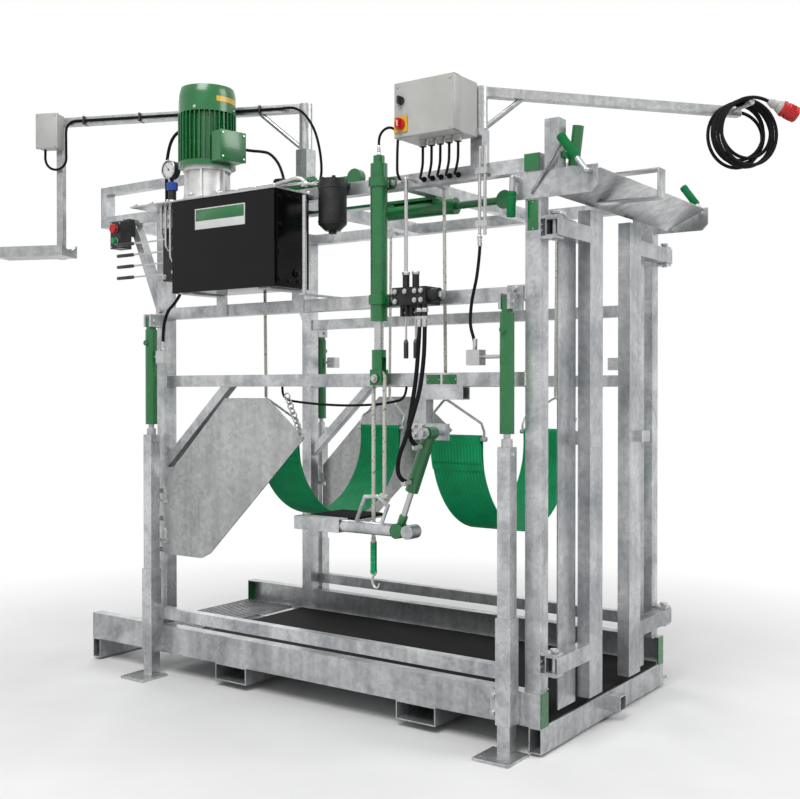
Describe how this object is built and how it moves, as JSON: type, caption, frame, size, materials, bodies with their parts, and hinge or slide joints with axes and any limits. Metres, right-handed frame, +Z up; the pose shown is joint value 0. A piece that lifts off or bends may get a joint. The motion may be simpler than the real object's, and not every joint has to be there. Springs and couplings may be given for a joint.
{
  "type": "hoof trimming chute",
  "caption": "Galvanised hydraulic hoof trimming chute with a swinging neck gate, lifting legs, belly belts, hoof rest, power pack and swing booms.",
  "frame": {"origin": "point on the rubber mat's top face at the middle of the base, where the animal stands", "axes": "+X from the rear entrance to the head gate, +Y to the side away from the operator, +Z up"},
  "size_m": [3.1887, 1.7463, 2.5412],
  "materials": {
    "galvanised": "hot-dip galvanised steel, mottled light grey",
    "green_paint": "mid green gloss paint",
    "black_paint": "black gloss paint",
    "black_plastic": "black moulded plastic",
    "rubber": "black rubber",
    "cast_aluminium": "as-cast aluminium",
    "grey_enclosure": "light grey powder coat",
    "belt_webbing": "green ribbed belt webbing",
    "bright_steel": "bright zinc plated steel",
    "rope": "white twisted rope with dark flecks",
    "red_plastic": "red plastic",
    "green_plastic": "green plastic",
    "blue_plastic": "blue plastic"
  },
  "bodies": {
    "frame": {"base_cross_tubes": "galvanised", "base_side_beams": "galvanised", "end_caps": "green_paint", "floor_plate": "galvanised", "rubber_mat": "rubber", "corner_posts": "galvanised", "side_rails": "galvanised", "roof_frame": "galvanised", "leg_sleeves": "galvanised", "leg_cylinder_barrels": "green_paint", "front_visor": "galvanised", "oil_tank": "black_paint", "tank_lid": "galvanised", "bell_housing": "cast_aluminium", "motor_body": "green_paint", "rear_valve_bank": "black_paint", "mid_valve_block": "black_paint", "oil_filter": "black_paint", "control_cabinet": "grey_enclosure", "start_stop_box": "black_plastic", "rope_cylinder": "green_paint", "hoist_cylinders": "green_paint", "belly_belts": "belt_webbing", "belt_bars": "galvanised", "hoof_carriage": "galvanised", "steel_pipes": "bright_steel", "hydraulic_hoses": "rubber", "latch_spring": "bright_steel"},
    "leg_front_near": {"leg_front_near": "galvanised"},
    "leg_rear_near": {"leg_rear_near": "galvanised"},
    "leg_front_far": {"leg_front_far": "galvanised"},
    "leg_rear_far": {"leg_rear_far": "galvanised"},
    "gate_near": {"gate_leaf_near": "galvanised"},
    "gate_far": {"gate_leaf_far": "galvanised"},
    "rope_lift": {"rope_rod": "green_paint", "lift_rope": "rope"},
    "hoof_arm": {"hoof_cylinder": "green_paint"},
    "hoof_support": {"hoof_rest": "galvanised", "hoof_pad": "rubber"},
    "side_plate_near_leaf": {"side_plate_near": "galvanised"},
    "side_plate_far_leaf": {"side_plate_far": "galvanised"},
    "tool_arm": {"tool_boom": "galvanised"},
    "cable_arm": {"cable_boom": "galvanised", "cable_coil": "rubber", "power_plug": "red_plastic"},
    "rear_lever_1_body": {"rear_lever_1": "black_plastic"},
    "rear_lever_2_body": {"rear_lever_2": "black_plastic"},
    "rear_lever_3_body": {"rear_lever_3": "black_plastic"},
    "rear_lever_4_body": {"rear_lever_4": "black_plastic"},
    "mid_lever_1_body": {"mid_lever_1": "black_plastic"},
    "mid_lever_2_body": {"mid_lever_2": "black_plastic"},
    "main_switch_knob": {"main_switch": "red_plastic"},
    "selector_knob_turn": {"selector_knob": "black_plastic"},
    "stop_push": {"stop_button": "red_plastic"},
    "start_push": {"start_button": "green_plastic"},
    "relief_adjuster": {"relief_knob": "blue_plastic"},
    "rotor": {"motor_rotor": "bright_steel"},
    "latch_near": {"latch_handle_near": "green_paint"},
    "latch_far": {"latch_handle_far": "green_paint"},
    "latch_rear": {"latch_handle_rear": "green_paint"}
  },
  "joints": [
    {"name": "leg_front_near_slide", "type": "slide", "parent": "frame", "child": "leg_front_near", "axis": [0, 0, -1], "range_m": [0, 0.3]},
    {"name": "leg_rear_near_slide", "type": "slide", "parent": "frame", "child": "leg_rear_near", "axis": [0, 0, -1], "range_m": [0, 0.3]},
    {"name": "leg_front_far_slide", "type": "slide", "parent": "frame", "child": "leg_front_far", "axis": [0, 0, -1], "range_m": [0, 0.3]},
    {"name": "leg_rear_far_slide", "type": "slide", "parent": "frame", "child": "leg_rear_far", "axis": [0, 0, -1], "range_m": [0, 0.3]},
    {"name": "gate_near_hinge", "type": "hinge", "parent": "frame", "child": "gate_near", "pos_m": [1.223, -0.505, 1], "axis": [0, 0, 1], "range_deg": [-80, 0]},
    {"name": "gate_far_hinge", "type": "hinge", "parent": "frame", "child": "gate_far", "pos_m": [1.223, 0.505, 1], "axis": [0, 0, 1], "range_deg": [0, 80]},
    {"name": "rope_lift_slide", "type": "slide", "parent": "frame", "child": "rope_lift", "axis": [0, 0, -1], "range_m": [-0.09, 0.19]},
    {"name": "hoof_arm_hinge", "type": "hinge", "parent": "frame", "child": "hoof_arm", "pos_m": [0.78, -0.627, 1.008], "axis": [0, 1, 0], "range_deg": [-3, 12], "deforming": ["hydraulic_hoses"]},
    {"name": "hoof_support_slide", "type": "slide", "parent": "hoof_arm", "child": "hoof_support", "axis": [-0.352, 0, -0.936], "range_m": [-0.05, 0.08]},
    {"name": "side_plate_near_leaf_hinge", "type": "hinge", "parent": "frame", "child": "side_plate_near_leaf", "pos_m": [-0.7, -0.556, 0.583], "axis": [0, 0, 1], "range_deg": [-85, 0]},
    {"name": "side_plate_far_leaf_hinge", "type": "hinge", "parent": "frame", "child": "side_plate_far_leaf", "pos_m": [-0.7, 0.556, 0.583], "axis": [0, 0, 1], "range_deg": [0, 85]},
    {"name": "tool_arm_hinge", "type": "hinge", "parent": "frame", "child": "tool_arm", "pos_m": [-0.045, -0.353, 2.193], "axis": [0, 0, 1], "range_deg": [-35, 2]},
    {"name": "cable_arm_hinge", "type": "hinge", "parent": "frame", "child": "cable_arm", "pos_m": [0.92, -0.51, 2.113], "axis": [0, 0, 1], "range_deg": [-60, 60]},
    {"name": "rear_lever_1_body_hinge", "type": "hinge", "parent": "frame", "child": "rear_lever_1_body", "pos_m": [-0.544, -0.656, 1.819], "axis": [0, 0, 1], "range_deg": [-12, 12], "stiffness_Nm_per_rad": 6},
    {"name": "rear_lever_2_body_hinge", "type": "hinge", "parent": "frame", "child": "rear_lever_2_body", "pos_m": [-0.544, -0.656, 1.769], "axis": [0, 0, 1], "range_deg": [-12, 12], "stiffness_Nm_per_rad": 6},
    {"name": "rear_lever_3_body_hinge", "type": "hinge", "parent": "frame", "child": "rear_lever_3_body", "pos_m": [-0.544, -0.656, 1.719], "axis": [0, 0, 1], "range_deg": [-12, 12], "stiffness_Nm_per_rad": 6},
    {"name": "rear_lever_4_body_hinge", "type": "hinge", "parent": "frame", "child": "rear_lever_4_body", "pos_m": [-0.544, -0.656, 1.669], "axis": [0, 0, 1], "range_deg": [-12, 12], "stiffness_Nm_per_rad": 6},
    {"name": "mid_lever_1_body_hinge", "type": "hinge", "parent": "frame", "child": "mid_lever_1_body", "pos_m": [0.652, -0.597, 1.453], "axis": [1, 0, 0], "range_deg": [-15, 15], "stiffness_Nm_per_rad": 5},
    {"name": "mid_lever_2_body_hinge", "type": "hinge", "parent": "frame", "child": "mid_lever_2_body", "pos_m": [0.696, -0.597, 1.453], "axis": [1, 0, 0], "range_deg": [-15, 15], "stiffness_Nm_per_rad": 5},
    {"name": "main_switch_knob_hinge", "type": "hinge", "parent": "frame", "child": "main_switch_knob", "pos_m": [0.712, -0.713, 2.122], "axis": [0, 1, 0], "range_deg": [0, 90]},
    {"name": "selector_knob_turn_hinge", "type": "hinge", "parent": "frame", "child": "selector_knob_turn", "pos_m": [0.712, -0.713, 2.207], "axis": [0, 1, 0], "range_deg": [-45, 45]},
    {"name": "stop_push_slide", "type": "slide", "parent": "frame", "child": "stop_push", "axis": [0, 1, 0], "range_m": [0, 0.004], "stiffness_N_per_m": 600},
    {"name": "start_push_slide", "type": "slide", "parent": "frame", "child": "start_push", "axis": [0, 1, 0], "range_m": [0, 0.004], "stiffness_N_per_m": 600},
    {"name": "relief_adjuster_hinge", "type": "hinge", "parent": "frame", "child": "relief_adjuster", "pos_m": [-0.5, -0.696, 2.023], "axis": [0, 0, 1], "range_deg": [-170, 170]},
    {"name": "rotor_hinge", "type": "hinge", "parent": "frame", "child": "rotor", "pos_m": [-0.33, -0.656, 2.094], "axis": [0, 0, 1], "continuous": true},
    {"name": "latch_near_hinge", "type": "hinge", "parent": "frame", "child": "latch_near", "pos_m": [1.372, -0.541, 1.905], "axis": [0, 1, 0], "range_deg": [0, 70], "deforming": ["latch_spring"]},
    {"name": "latch_far_hinge", "type": "hinge", "parent": "frame", "child": "latch_far", "pos_m": [1.372, 0.541, 1.905], "axis": [0, 1, 0], "range_deg": [0, 70]},
    {"name": "latch_rear_hinge", "type": "hinge", "parent": "frame", "child": "latch_rear", "pos_m": [1.09, -0.541, 1.911], "axis": [0, 1, 0], "range_deg": [-30, 40]}
  ],
  "couplings": [
    {"joint": "gate_far_hinge", "follows": "gate_near_hinge", "ratio": -1}
  ]
}
